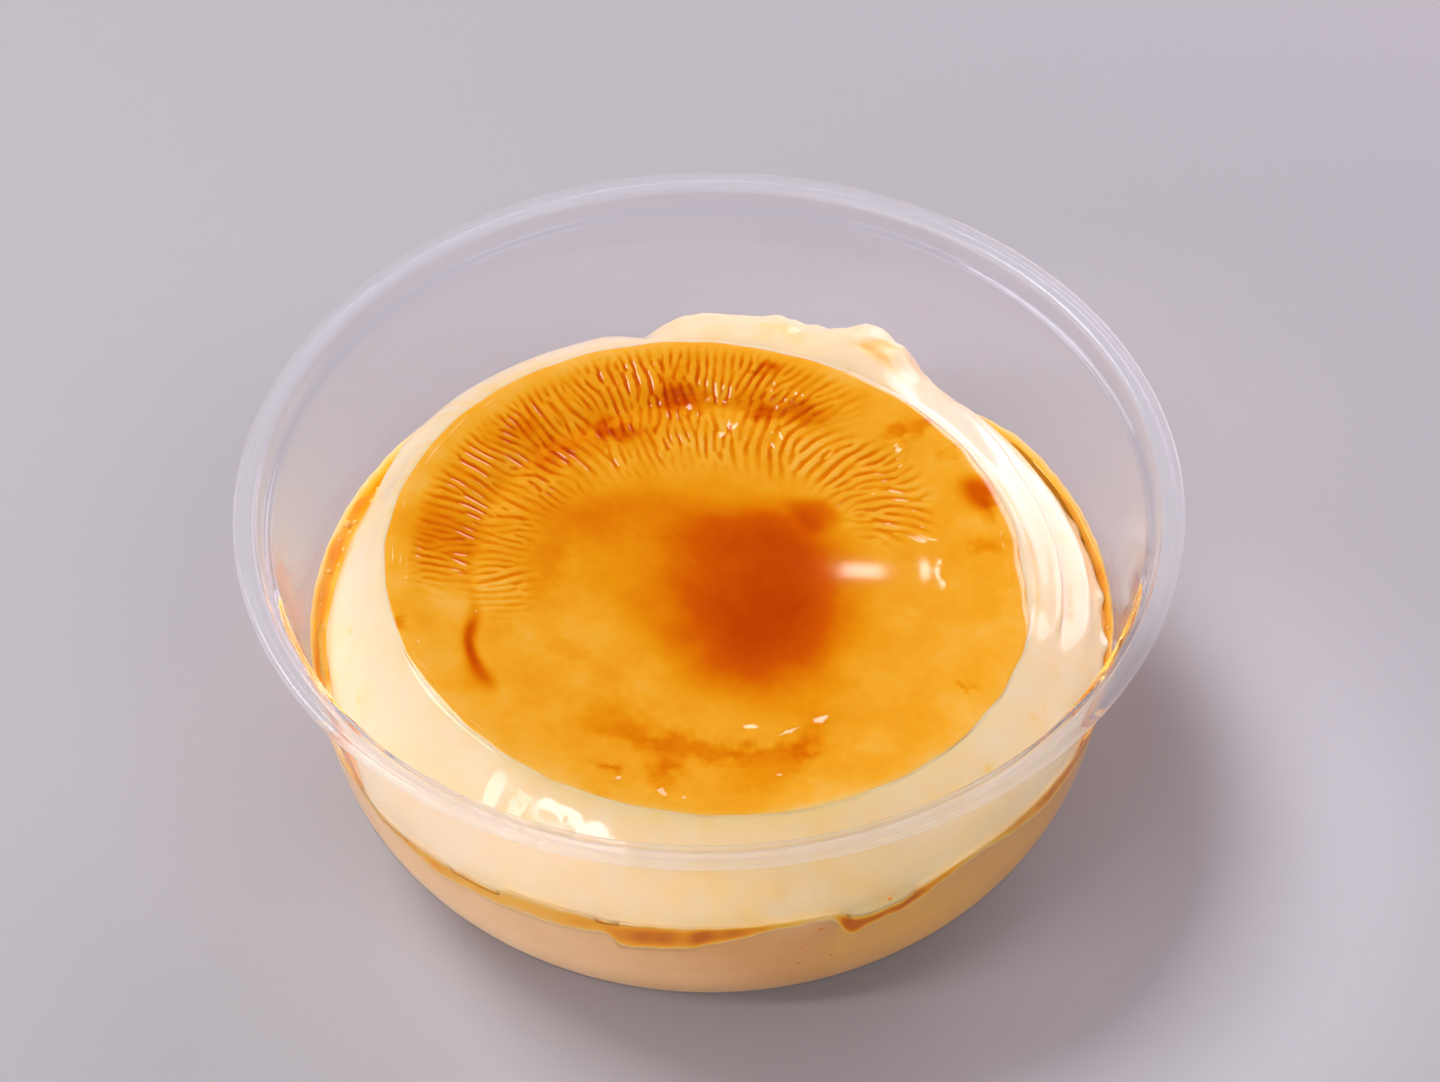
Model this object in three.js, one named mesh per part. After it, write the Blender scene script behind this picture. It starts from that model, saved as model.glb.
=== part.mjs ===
// A creme caramel in its clear plastic bowl. Millimetres, +Z up, origin under the middle of the base.
// From below the food is a lower custard, a caramel layer whose sauce also fills the groove along the
// wall, an upper custard turned out onto it, and the caramel-soaked top of that one.
// Angles are in degrees, counterclockwise from +X seen from above; the photographed side faces -Y.
import * as THREE from 'three';

// The bowl: a thin moulded wall with a lid ledge, a flat flange and a rolled bead round its edge.
const HEIGHT = 50;
const RIM_RADIUS = 58.5;
const FLANGE_WIDTH = 2.9;
const WALL = 0.7;
const BEAD_DEPTH = 1.3;
const LEDGE_DROP = 3.2;
const LEDGE_WIDTH = 0.7;
const WALL_TOP_RADIUS = 54.6;
const WALL_SLOPE = 9;
const BASE_RADIUS = 29.7;
const CORNER_RADIUS = 20.4;
const RECESS_RADIUS = 23;
const RECESS_DEPTH = 0.6;

// The seam between the custards: its mean height, and how it rises and dips along the wall.
const GAP = 0.3;
const SEAM_HEIGHT = 24.8;
const SEAM_TILT = { height: 1.0, highest: -50 };
const SEAM_SADDLE = { height: 1.3, lowest: -140 };
const LAYER_THICKNESS = 1.0;
const RING_RISE = 0.9;

// The turned-out custard. Its foot is nearly on the wall in front and furthest from it at the sides.
const FOOT_RADIUS = 48.7;
const FOOT_HUMPS = [
  { height: 0.6, middle: -80, width: 25 },
  { height: -0.5, middle: 5, width: 30 },
  { height: -0.3, middle: 170, width: 35 },
];
const SIDE_ROUNDNESS = 1.5;

// Custard torn from the back of the side: a slab behind the top and a lump to its right.
const TORN_HUMPS = [
  { height: 1.0, middle: 87, width: 14 },
  { height: 1.15, middle: 63, width: 7 },
];
const TORN_OUT = 2.4;
const TORN_UP = 2.0;

// The top leans down towards +X and sinks to a shallow dish with a groove round it.
const TOP_HEIGHT = 36.2;
const TOP_RADIUS = 40.5;
const TOP_OVAL = { height: 0.35, longest: -17 };
const TOP_HUMPS = [{ height: -0.5, middle: 62, width: 22 }];
const TOP_TILT = -0.065;
const TOP_THICKNESS = 1.2;
const DISH_DEPTH = 3.0;
const GROOVE_RADIUS = 30;
const GROOVE_DEPTH = 0.5;
const GROOVE_WIDTH = 2.2;

// Shares of the top's radius where its rings lie, and shares of the way up the custard's side.
const TOP_SHARES = [0.9, 0.82, 0.74, 0.65, 0.5, 0.3];
const SIDE_SHARES = [0, 0.12, 0.3, 0.5, 0.68, 0.84, 1];
const SEAM_SHARES = [0.4, 0.8];
const SEGMENTS = 80;
const CORNER_STEPS = 7;

const { degToRad } = THREE.MathUtils;

// The sum of smooth humps at an angle, each dying out over its width.
function humps(list, angle) {
  let sum = 0;
  for (const { height, middle, width } of list) {
    const away = THREE.MathUtils.euclideanModulo(angle - middle + 180, 360) - 180;
    sum += height * Math.exp(-((away / width) ** 2));
  }
  return sum;
}

function foodWallRadius(height) {
  const slope = degToRad(WALL_SLOPE);
  const outside = WALL_TOP_RADIUS - (HEIGHT - LEDGE_DROP - height) * Math.tan(slope);
  return outside - WALL / Math.cos(slope) - GAP;
}

// The height of the lower custard's face: the wave is full at the wall and dies out at the middle.
function seamHeight(radius, angle) {
  const tilt = SEAM_TILT.height * Math.cos(degToRad(angle - SEAM_TILT.highest));
  const saddle = -SEAM_SADDLE.height * Math.cos(2 * degToRad(angle - SEAM_SADDLE.lowest));
  return SEAM_HEIGHT + (tilt + saddle) * (radius / FOOT_RADIUS) ** 2;
}

function footRadius(angle) {
  return FOOT_RADIUS + humps(FOOT_HUMPS, angle);
}

function topRadius(angle) {
  const oval = TOP_OVAL.height * Math.cos(2 * degToRad(angle - TOP_OVAL.longest));
  return TOP_RADIUS + oval + humps(TOP_HUMPS, angle);
}

function dishDepth(share) {
  const fromGroove = (share * TOP_RADIUS - GROOVE_RADIUS) / GROOVE_WIDTH;
  return DISH_DEPTH * (1 - share ** 2) + GROOVE_DEPTH * Math.exp(-(fromGroove ** 2));
}

// A closed skin through rings, each a function from angle to [radius, height]. The list starts and
// ends on the axis.
function skin(rings) {
  const outline = rings.map((ring) => new THREE.Vector2(...ring(0)));
  const geometry = new THREE.LatheGeometry(outline, SEGMENTS);
  const position = geometry.attributes.position;
  for (let i = 0; i < position.count; i += 1) {
    const column = Math.floor(i / rings.length) % SEGMENTS;
    const angle = (column / SEGMENTS) * 360;
    const [radius, height] = rings[i % rings.length](angle);
    const turn = degToRad(angle);
    position.setXYZ(i, radius * Math.cos(turn), radius * Math.sin(turn), height);
  }
  geometry.computeVertexNormals();
  return geometry;
}

function level(radius, height) {
  return () => [radius, height];
}

// The rounded lower corner, set in from the bowl's outer face, from the base up to the wall.
function cornerRings(inset) {
  const rings = [];
  for (let i = 0; i <= CORNER_STEPS; i += 1) {
    const turn = degToRad((i / CORNER_STEPS) * (90 - WALL_SLOPE) - 90);
    const reach = CORNER_RADIUS - inset;
    rings.push(level(BASE_RADIUS + reach * Math.cos(turn), CORNER_RADIUS + reach * Math.sin(turn)));
  }
  return rings;
}

// A base with its recessed middle, from the axis outwards, a distance above the floor.
function baseRings(above) {
  return [
    level(0, above + RECESS_DEPTH),
    level(RECESS_RADIUS - RECESS_DEPTH, above + RECESS_DEPTH),
    level(RECESS_RADIUS, above),
  ];
}

function makeBowl() {
  const ledge = HEIGHT - LEDGE_DROP;
  const flangeInner = RIM_RADIUS - FLANGE_WIDTH;
  const rimOutside = [
    level(WALL_TOP_RADIUS, ledge - WALL),
    level(WALL_TOP_RADIUS + LEDGE_WIDTH, ledge - 0.6 * WALL),
    level(flangeInner + 0.5 * WALL, HEIGHT - 1.6 * WALL),
    level(flangeInner + WALL, HEIGHT - WALL),
  ];
  const bead = [
    level(RIM_RADIUS - 1.3 * WALL, HEIGHT - WALL),
    level(RIM_RADIUS - WALL, HEIGHT - BEAD_DEPTH),
    level(RIM_RADIUS - 0.2 * WALL, HEIGHT - BEAD_DEPTH),
    level(RIM_RADIUS, HEIGHT - 0.75 * BEAD_DEPTH),
    level(RIM_RADIUS, HEIGHT - 0.3 * BEAD_DEPTH),
    level(RIM_RADIUS - 0.5 * WALL, HEIGHT),
  ];
  const rimInside = [
    level(flangeInner, HEIGHT),
    level(flangeInner - 0.5 * WALL, HEIGHT - 0.6 * WALL),
    level(WALL_TOP_RADIUS, ledge + 0.3 * WALL),
    level(WALL_TOP_RADIUS - WALL, ledge),
  ];
  return skin([
    ...baseRings(0),
    ...cornerRings(0),
    ...rimOutside,
    ...bead,
    ...rimInside,
    ...cornerRings(WALL).reverse(),
    ...baseRings(WALL).reverse(),
  ]);
}

// Rings on the seam between axis and wall, a distance above the lower custard's face.
function seamRings(above) {
  const shares = [0, ...SEAM_SHARES];
  return shares.map((share) => (angle) => {
    const radius = share * FOOT_RADIUS;
    return [radius, seamHeight(radius, angle) + above];
  });
}

function wallRing(above) {
  return (angle) => {
    const height = seamHeight(FOOT_RADIUS, angle) + above;
    return [foodWallRadius(height), height];
  };
}

// The ring where the sauce in the groove meets the foot of the upper custard.
function grooveRing(above) {
  return (angle) => {
    const radius = footRadius(angle) + GAP;
    return [radius, seamHeight(radius, angle) + above];
  };
}

function makeLowerCustard() {
  const inset = WALL + GAP;
  return skin([
    ...baseRings(inset),
    ...cornerRings(inset),
    wallRing(0),
    ...seamRings(0).reverse(),
  ]);
}

function makeCaramelLayer() {
  const layerTop = GAP + LAYER_THICKNESS;
  return skin([
    ...seamRings(GAP),
    wallRing(GAP),
    wallRing(layerTop + RING_RISE),
    grooveRing(layerTop + 0.8 * RING_RISE),
    grooveRing(layerTop),
    ...seamRings(layerTop).reverse(),
  ]);
}

// A ring on the leaning, dished top, at a share of its radius and a depth below its face.
function topRing(share, depth) {
  return (angle) => {
    const radius = share * topRadius(angle);
    const lean = TOP_TILT * radius * Math.cos(degToRad(angle));
    return [radius, TOP_HEIGHT + lean - dishDepth(share) - depth];
  };
}

// A ring on the side, at a share of the way up from the foot to the edge under the caramel top.
function sideRing(share) {
  const foot = grooveRing(2 * GAP + LAYER_THICKNESS);
  const edge = topRing(1, TOP_THICKNESS + 2 * GAP);
  return (angle) => {
    const [footOut, footHeight] = foot(angle);
    const [edgeOut, edgeHeight] = edge(angle);
    const torn = humps(TORN_HUMPS, angle) * Math.sin(Math.PI * share);
    const inwards = (footOut - GAP - edgeOut) * share ** SIDE_ROUNDNESS;
    const height = footHeight + (edgeHeight - footHeight) * share;
    return [footOut - GAP - inwards + TORN_OUT * torn, height + TORN_UP * torn];
  };
}

function makeUpperCustard() {
  const topDepth = TOP_THICKNESS + GAP;
  return skin([
    ...seamRings(2 * GAP + LAYER_THICKNESS),
    ...SIDE_SHARES.map(sideRing),
    ...TOP_SHARES.map((share) => topRing(share, topDepth)),
    topRing(0, topDepth),
  ]);
}

function makeCaramelTop() {
  const under = TOP_SHARES.map((share) => topRing(share, TOP_THICKNESS));
  const over = TOP_SHARES.map((share) => topRing(share, 0));
  return skin([
    topRing(0, TOP_THICKNESS),
    ...under.reverse(),
    topRing(0.995, TOP_THICKNESS),
    topRing(1.005, 0.6 * TOP_THICKNESS),
    topRing(0.995, 0.1 * TOP_THICKNESS),
    topRing(0.97, 0),
    ...over,
    topRing(0, 0),
  ]);
}

const dessert = new THREE.Group();

function add(name, geometry, finish) {
  const mesh = new THREE.Mesh(geometry, new THREE.MeshStandardMaterial({ metalness: 0, ...finish }));
  mesh.name = name;
  dessert.add(mesh);
}

add('bowl', makeBowl(), { color: 0xeef0f2, roughness: 0.08, transparent: true, opacity: 0.3 });
add('lower_custard', makeLowerCustard(), { color: 0xf6dfae, roughness: 0.35 });
add('caramel_layer', makeCaramelLayer(), { color: 0xe0941a, roughness: 0.12 });
add('upper_custard', makeUpperCustard(), { color: 0xf8e4b8, roughness: 0.3 });
add('caramel_top', makeCaramelTop(), { color: 0xef9f25, roughness: 0.15 });

export default dessert;
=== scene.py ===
# A creme caramel in its clear plastic bowl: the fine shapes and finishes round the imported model.
# Shapes are worked out in millimetres and degrees and stored in metres. Angles run counterclockwise
# from +X seen from above; the photographed side faces -Y. A share runs from 0 to 1: across the top
# from its middle to its edge, or up the custard's side from its foot to the top's edge.
import math

import bpy
import numpy as np
from mathutils import Matrix, Vector


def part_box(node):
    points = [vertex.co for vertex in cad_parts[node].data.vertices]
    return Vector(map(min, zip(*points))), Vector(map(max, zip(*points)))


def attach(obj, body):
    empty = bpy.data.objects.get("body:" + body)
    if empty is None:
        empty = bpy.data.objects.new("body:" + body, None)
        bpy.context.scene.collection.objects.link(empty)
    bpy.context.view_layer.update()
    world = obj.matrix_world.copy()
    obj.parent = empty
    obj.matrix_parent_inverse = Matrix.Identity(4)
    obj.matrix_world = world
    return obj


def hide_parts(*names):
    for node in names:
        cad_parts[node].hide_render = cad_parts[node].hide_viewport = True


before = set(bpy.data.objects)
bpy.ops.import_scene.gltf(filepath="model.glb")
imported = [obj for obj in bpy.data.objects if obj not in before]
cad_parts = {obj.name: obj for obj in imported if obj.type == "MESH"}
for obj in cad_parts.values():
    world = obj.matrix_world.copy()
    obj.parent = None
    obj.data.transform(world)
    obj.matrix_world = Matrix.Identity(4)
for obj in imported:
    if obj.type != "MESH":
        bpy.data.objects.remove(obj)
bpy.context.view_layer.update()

MM = 0.001

# -------- sizes, in millimetres
RIM_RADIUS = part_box("bowl")[1].x / MM
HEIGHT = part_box("bowl")[1].z / MM
WALL = 0.7
WALL_SLOPE = math.radians(9)
WALL_TOP_RADIUS = 54.6
LEDGE_DROP = 3.2
FLANGE_WIDTH = 2.9
BASE_RADIUS = 29.7
CORNER_RADIUS = 20.4
RECESS_RADIUS = 23.0
RECESS_DEPTH = 0.6
# How far the food reaches into the bowl's wall, so that no air shows between them.
INTO_WALL = 0.3

SEAM_HEIGHT = 24.8
LAYER_THICKNESS = 1.6
SEAM_TILT = (1.0, -50)
SEAM_SADDLE = (-1.3, -140, 2)
FOOT_RADIUS = 48.7
# Where the turned-out custard's foot lies against the wall: the middle, and how far from it in degrees.
CONTACT_MIDDLE = -88
CONTACT_FULL = 56
CONTACT_END = 68
# How high the foot lies over the seam where it is clear of the wall, and how deep in its band in front.
FOOT_LIFT = 1.7
FOOT_SINK = 0.25
# How far round the foot's course is evened out for the side above it, in degrees.
EVENED = 9.0
SIDE_ROUNDNESS = 1.5
TOP_HEIGHT = 36.2
TOP_RADIUS = 40.5
TOP_OVAL = (0.35, -17, 2)
TOP_DENT = ((62, 0.5, 22),)
TOP_TILT = -0.065
# Where the custard's shoulder shows outside the skin, on the right: angle, how far, width.
BARE_SHOULDER = ((2, 1.2, 13), (24, 0.6, 13))
TOP_THICKNESS = 1.5
DISH_DEPTH = 3.0
GROOVE_RADIUS = 30.0
GROOVE_DEPTH = 0.5
GROOVE_WIDTH = 2.2

# The seam as it shows through the wall: angle, its upper and lower edge, and how dark its caramel is.
SEAM_BAND = np.array([
    (-180, 26.8, 25, 0.8), (-160, 26.2, 24.4, 0.5), (-148, 25, 24.2, 0.25), (-143, 24.7, 23.4, 0.35),
    (-135, 25.5, 23.2, 0.42), (-133, 26, 22.2, 0.5), (-128, 26.2, 22.8, 0.5), (-126, 26.4, 23.3, 0.38),
    (-121, 26.6, 23.6, 0.32), (-119, 28.2, 23.7, 0.32), (-113, 28.4, 24, 0.36), (-107, 28.3, 24.7, 0.5),
    (-104.6, 28, 25.6, 0.65), (-103.6, 28.2, 22.3, 0.7), (-100, 28.4, 22.8, 0.9), (-94, 28.6, 23.4, 0.95),
    (-90, 28.6, 24.9, 0.9), (-86, 28.7, 26.2, 0.8), (-82, 28.7, 27.5, 0.4), (-76, 28.6, 27.6, 0.15),
    (-73.6, 28.2, 27.4, 0.1), (-73.1, 28, 24.6, 0.9), (-72, 27.2, 23, 1), (-71, 26.2, 21.8, 1),
    (-69.6, 25.9, 22.4, 1), (-68.5, 25.8, 23.6, 1), (-64, 26.2, 23.9, 1), (-61, 27.8, 24.6, 0.95),
    (-59, 28.2, 26, 0.7), (-55, 28.9, 27.6, 0.4), (-50, 29.2, 28.2, 0.25), (-46, 29.2, 27, 0.5),
    (-42, 29.2, 26, 0.6), (-37, 29.4, 24.8, 0.8), (-31, 29, 24.6, 0.85), (-25, 28.4, 25, 0.85),
    (-10, 27.6, 25.2, 0.85), (10, 27.2, 25.2, 0.9), (36, 26.9, 25, 0.9),
    (46, 25.3, 24.3, 0.9), (100, 25.3, 24.3, 0.9), (112, 26.9, 24.9, 0.9), (120, 27, 25, 0.9),
])

# Custard torn from the back of the side: angle, how far it stands out.
TORN = np.array([(48, 0), (52, 0.25), (55, 0.6), (58, 1.15), (61, 1.35), (65, 1.6), (68, 1.2), (71, 0.85),
                 (74, 0.8), (78, 0.95), (88, 1), (95, 0.75), (102, 0)])
TORN_OUT = 2.4
TORN_UP = 2.0

# -------- camera and studio
PHOTO_WIDTH = 1440
CAMERA_DISTANCE = 468.0
CAMERA_ELEVATION = math.radians(46.5)
CAMERA_AIM = Vector((1.28, -4.73, 45.5))
CAMERA_FOCAL = 3802.5
CAMERA_ROLL = math.radians(0.8)
CAMERA_PLACE = Vector((0, -CAMERA_DISTANCE * math.cos(CAMERA_ELEVATION),
                       HEIGHT + CAMERA_DISTANCE * math.sin(CAMERA_ELEVATION)))
SENSOR = 36.0
# The small lamp that the wet top mirrors: azimuth, elevation and distance from the food's middle.
SMALL_LAMP = (85.3, 48.5, 900)
FOOD_MIDDLE = Vector((0, 0, 30))
FLOOR_REACH = 6000.0


def new_mesh(name, points, edges=(), faces=()):
    """A mesh from points in millimetres."""
    mesh = bpy.data.meshes.new(name)
    mesh.from_pydata((np.asarray(points) * MM).tolist(), edges, faces)
    return mesh


def store(mesh, name, values):
    """Keeps a value for each point of a mesh."""
    layer = mesh.attributes.new(name, "FLOAT", "POINT")
    layer.data.foreach_set("value", np.asarray(values, np.float32))


def add_object(name, data):
    added = bpy.data.objects.new(name, data)
    bpy.context.scene.collection.objects.link(added)
    return added


def make_camera():
    data = bpy.data.cameras.new("camera")
    data.sensor_fit = "HORIZONTAL"
    data.sensor_width = SENSOR
    data.lens = CAMERA_FOCAL / PHOTO_WIDTH * SENSOR
    data.clip_start = 0.01
    camera = add_object("camera", data)
    aim = (CAMERA_AIM - CAMERA_PLACE).to_track_quat("-Z", "Y").to_matrix().to_4x4()
    camera.matrix_world = Matrix.Translation(CAMERA_PLACE * MM) @ aim @ Matrix.Rotation(-CAMERA_ROLL, 4, "Z")
    bpy.context.scene.camera = camera


def hex_colour(code):
    """An sRGB hex colour as opaque linear RGBA."""
    channels = [int(code[i:i + 2], 16) / 255 for i in (1, 3, 5)]
    linear = [c / 12.92 if c <= 0.04045 else ((c + 0.055) / 1.055) ** 2.4 for c in channels]
    return (*linear, 1.0)


def add_node(tree, kind, inputs=None, **settings):
    """Adds a node with its settings; an input is a value or the socket that feeds it."""
    node = tree.nodes.new(kind)
    for name, value in settings.items():
        setattr(node, name, value)
    for name, value in (inputs or {}).items():
        if isinstance(value, bpy.types.NodeSocket):
            tree.links.new(value, node.inputs[name])
        else:
            node.inputs[name].default_value = value
    return node


def new_material(name):
    material = bpy.data.materials.new(name)
    material.use_nodes = True
    material.node_tree.nodes.clear()
    return material, material.node_tree


def finish_material(material, shader):
    add_node(material.node_tree, "ShaderNodeOutputMaterial", {"Surface": shader.outputs[0]})
    return material


def direction(azimuth, elevation):
    a = math.radians(azimuth)
    e = math.radians(elevation)
    return Vector((math.cos(e) * math.cos(a), math.cos(e) * math.sin(a), math.sin(e)))


def add_softbox(name, azimuth, elevation, distance, size, power, turn=0, colour="#FFFFFF"):
    """A lamp that faces the food from a direction in degrees and a distance in millimetres."""
    data = bpy.data.lights.new(name, "AREA")
    data.shape = "RECTANGLE"
    data.size = size[0] * MM
    data.size_y = size[1] * MM
    data.energy = power
    data.color = hex_colour(colour)[:3]
    light = add_object(name, data)
    place = FOOD_MIDDLE + distance * direction(azimuth, elevation)
    facing = (FOOD_MIDDLE - place).to_track_quat("-Z", "Y").to_matrix().to_4x4()
    roll = Matrix.Rotation(math.radians(turn), 4, "Z")
    light.matrix_world = Matrix.Translation(place * MM) @ facing @ roll


def make_studio():
    scene = bpy.context.scene
    scene.view_settings.view_transform = "Standard"
    scene.world = bpy.data.worlds.new("studio")
    scene.world.use_nodes = True
    tree = scene.world.node_tree
    backdrop = tree.nodes["Background"]
    backdrop.inputs["Color"].default_value = hex_colour("#F4F2F6")
    # The backdrop is dark behind and above the food, so that its wet top stays deep in colour.
    where = add_node(tree, "ShaderNodeTexCoord").outputs["Generated"]
    behind = add_node(tree, "ShaderNodeVectorMath", {0: where, 1: direction(90, 50)}, operation="DOT_PRODUCT")
    strength = add_node(tree, "ShaderNodeMapRange", {
        "Value": behind.outputs["Value"],
        "From Min": 0.55,
        "From Max": 0.85,
        "To Min": 0.32,
        "To Max": 0.03,
    })
    tree.links.new(strength.outputs["Result"], backdrop.inputs["Strength"])

    add_softbox("key", 150, 52, 900, (420, 420), 4.6)
    add_softbox("window", -143, 44, 800, (540, 48), 1.35, turn=48, colour="#FFF0FA")
    add_softbox("right_back", 58, 13.5, 700, (440, 400), 2.6, colour="#FFE8F8")
    add_softbox("small_lamp", *SMALL_LAMP, (10, 10), 0.0036)
    add_softbox("left_fill", -140, 10, 900, (500, 260), 0.9)
    add_softbox("front_fill", -45, 30, 1000, (500, 400), 1.6)

    corners = FLOOR_REACH * np.array([(-1, -1, 0), (1, -1, 0), (1, 1, 0), (-1, 1, 0)])
    floor = add_object("floor", new_mesh("floor", corners, faces=[(0, 1, 2, 3)]))
    material, tree = new_material("pale studio paper")
    shader = add_node(tree, "ShaderNodeBsdfPrincipled",
                      {"Base Color": hex_colour("#BDBBC1"), "Roughness": 0.7})
    floor.data.materials.append(finish_material(material, shader))


# -------- helpers for shapes
def smoothstep(low, high, value):
    t = np.clip((value - low) / (high - low), 0, 1)
    return t * t * (3 - 2 * t)


def span(value, start, full, fading, end):
    """1 between two values, dying out to 0 at the start before them and the end after them."""
    return smoothstep(start, full, value) * smoothstep(end, fading, value)


def away(angle, middle):
    """How far an angle is from a middle one, from -180 to 180 degrees."""
    return (angle - middle + 180) % 360 - 180


def hump(value, middle, width):
    return np.exp(-((value - middle) / width) ** 2)


def turn_hump(angle, middle, width):
    return np.exp(-(away(angle, middle) / width) ** 2)


def humps(angle, table):
    """The sum of smooth humps round the food, each given by its middle, height and width."""
    return sum(height * turn_hump(angle, middle, width) for middle, height, width in table)


def wave(angle, height, highest, times=1):
    """A wave round the food, which is highest at an angle and comes back this many times."""
    return height * np.cos(times * np.radians(angle - highest))


def keyed(angle, keys, column):
    """A value from a table of keys by angle, joined by straight lines."""
    return np.interp(angle, keys[:, 0], keys[:, column], period=360)


def soft_keyed(angle, keys, column):
    """The same with its corners rounded, for angles evenly all round."""
    values = keyed(angle, keys, column)
    window = (1, 2, 3, 2, 1)
    return sum(weight * np.roll(values, i - 2) for i, weight in enumerate(window)) / sum(window)


def noise_field(shape, steps, size, seed):
    """Smooth noise of unit spread on a grid that repeats at its sides. The steps between its rows and
    columns and the size of its lumps are in millimetres."""
    rows = np.fft.fftfreq(shape[0], steps[0])[:, None]
    columns = np.fft.rfftfreq(shape[1], steps[1])[None]
    waves = np.fft.rfft2(np.random.default_rng(seed).standard_normal(shape))
    noise = np.fft.irfft2(waves * np.exp(-2 * (rows ** 2 + columns ** 2) * size ** 2), shape)
    return noise / noise.std()


def waver(angle, lowest, highest, seed):
    """Smooth noise of unit spread round a ring, from waves that go round it this many times."""
    random = np.random.default_rng(seed)
    total = np.zeros_like(angle, dtype=float)
    for times in range(lowest, highest + 1):
        total += random.normal() * np.cos(np.radians(times * angle) + random.uniform(0, 2 * math.pi))
    return total / math.sqrt((highest - lowest + 1) / 2)


# Angles all the way round the food.
SEGMENTS = 720
ROUND = np.arange(SEGMENTS) / SEGMENTS * 360


def polar(radius, height, angle=ROUND):
    turn = np.radians(angle)
    return np.stack(np.broadcast_arrays(radius * np.cos(turn), radius * np.sin(turn), height), -1)


def skin(name, rings, attributes):
    """A closed mesh through rings of points, an array of rings x angles x 3 in millimetres, from the
    underside's middle outwards and over the top to its middle. An attribute holds a value for each
    point of a ring, or one for them all."""
    rings = np.asarray(rings, float)
    count, around = rings.shape[:2]
    points = np.vstack([rings[0, :1], rings[1:-1].reshape(-1, 3), rings[-1, :1]])
    last = len(points) - 1
    here = np.arange(around)
    ahead = (here + 1) % around
    faces = np.stack([np.zeros_like(here), 1 + ahead, 1 + here], 1).tolist()
    for ring in range(count - 3):
        low = 1 + ring * around
        high = low + around
        faces += np.stack([low + here, low + ahead, high + ahead, high + here], 1).tolist()
    low = 1 + (count - 3) * around
    faces += np.stack([low + here, low + ahead, np.full_like(here, last)], 1).tolist()
    mesh = new_mesh(name, points, faces=faces)
    for key, values in attributes.items():
        values = np.array([np.broadcast_to(ring, around) for ring in values], float)
        store(mesh, key, np.concatenate([[values[0].mean()], values[1:-1].ravel(), [values[-1].mean()]]))
    mesh.shade_smooth()
    return add_object(name, mesh)


def finish_piece(piece, slot, material, *nodes):
    piece.data.materials.clear()
    piece.data.materials.append(material)
    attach(piece, "root")
    if nodes:
        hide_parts(*nodes)


# -------- the bowl
CURVE_STEPS = 5
ARC_STEPS = 24


def rounded(corners):
    """An outline through corners (radius, height, rounding), each rounded by a curve."""
    outline = []
    for i, (radius, height, rounding) in enumerate(corners):
        here = np.array((radius, height))
        if rounding == 0:
            outline.append(here)
            continue
        ends = []
        for neighbour in (corners[i - 1], corners[i + 1]):
            way = np.array(neighbour[:2]) - here
            length = np.linalg.norm(way)
            ends.append(here + way / length * min(rounding, 0.45 * length))
        for t in np.linspace(0, 1, CURVE_STEPS):
            outline.append((1 - t) ** 2 * ends[0] + 2 * t * (1 - t) * here + t ** 2 * ends[1])
    return np.array(outline)


def corner_arc(inset, steps):
    """The rounded lower corner, set in from the bowl's outer face, from the base up to the wall."""
    turn = np.linspace(-math.pi / 2, -WALL_SLOPE, steps)
    reach = CORNER_RADIUS - inset
    return np.stack([BASE_RADIUS + reach * np.cos(turn), CORNER_RADIUS + reach * np.sin(turn)], 1)


def bowl_outline():
    """The moulded wall's outline, from the underside's middle out, up, over the rim and back inside."""
    ledge = HEIGHT - LEDGE_DROP
    flange = RIM_RADIUS - FLANGE_WIDTH
    under = rounded([(0, RECESS_DEPTH, 0), (RECESS_RADIUS - 1, RECESS_DEPTH, 0.5), (RECESS_RADIUS, 0, 0.5),
                     (BASE_RADIUS - 1, 0, 0)])
    rim = rounded([
        (WALL_TOP_RADIUS - 0.8, ledge - 5.2, 0),
        (WALL_TOP_RADIUS, ledge - WALL, 0.3),
        (WALL_TOP_RADIUS + 0.75, ledge - 0.5 * WALL, 0.3),
        (flange + 0.45 * WALL, HEIGHT - 1.4 * WALL, 0.5),
        (flange + 1.6 * WALL, HEIGHT - WALL, 0.3),
        (RIM_RADIUS - 1.15, HEIGHT - WALL, 0.3),
        (RIM_RADIUS - 0.95, HEIGHT - 1.35, 0.3),
        (RIM_RADIUS, HEIGHT - 1.35, 0.55),
        (RIM_RADIUS, HEIGHT, 0.6),
        (RIM_RADIUS - 1.3, HEIGHT - 0.02, 0.5),
        (RIM_RADIUS - 1.6, HEIGHT - 0.1, 0.3),
        (flange, HEIGHT - 0.1, 0.4),
        (flange - 0.35, HEIGHT - 1.0, 0.3),
        (WALL_TOP_RADIUS + 0.1, ledge + 0.1, 0.5),
        (WALL_TOP_RADIUS - WALL, ledge - 0.1, 0.35),
        (WALL_TOP_RADIUS - WALL - 0.85, ledge - 5.3, 0),
    ])
    inner_base = rounded([(BASE_RADIUS - 1, WALL, 0), (RECESS_RADIUS, WALL, 0.5),
                          (RECESS_RADIUS - 1, WALL + RECESS_DEPTH, 0.5), (0, WALL + RECESS_DEPTH, 0)])
    return np.vstack([under, corner_arc(0, ARC_STEPS), rim, corner_arc(WALL, ARC_STEPS)[::-1], inner_base])


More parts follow.
